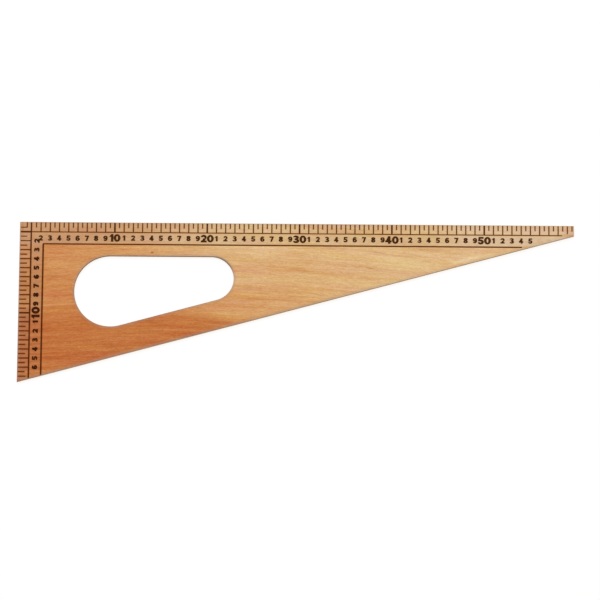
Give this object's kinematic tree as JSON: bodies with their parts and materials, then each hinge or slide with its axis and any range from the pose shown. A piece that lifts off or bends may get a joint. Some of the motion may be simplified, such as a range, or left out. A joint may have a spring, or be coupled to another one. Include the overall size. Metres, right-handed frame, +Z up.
{
  "type": "tailor's square",
  "caption": "Wooden tailor's square: a thin right-angled triangle with a hand hole, centimetre scales along the long and short edges, and a painted border line.",
  "frame": {"origin": "on the underside, below the middle of the square's bounding box, with the square lying flat and its scale facing up", "axes": "+X along the long measuring edge, from the right-angled corner to the blunt tip; +Y square to it, towards the long measuring edge; +Z up, out of the face with the scale"},
  "size_m": [0.6, 0.177, 0.0041],
  "materials": {
    "face_veneer": "sanded and thinly sealed beech face ply, warm orange brown to pale straw",
    "core_ply": "bare sawn beech core ply, seen only at the edges",
    "scale_paint": "brown-black paint in stamped lines, satin"
  },
  "bodies": {
    "root": {"front_veneer": "face_veneer", "core_ply": "core_ply", "back_veneer": "face_veneer", "long_scale_paint": "scale_paint", "short_scale_paint": "scale_paint", "border_paint": "scale_paint"}
  },
  "joints": []
}
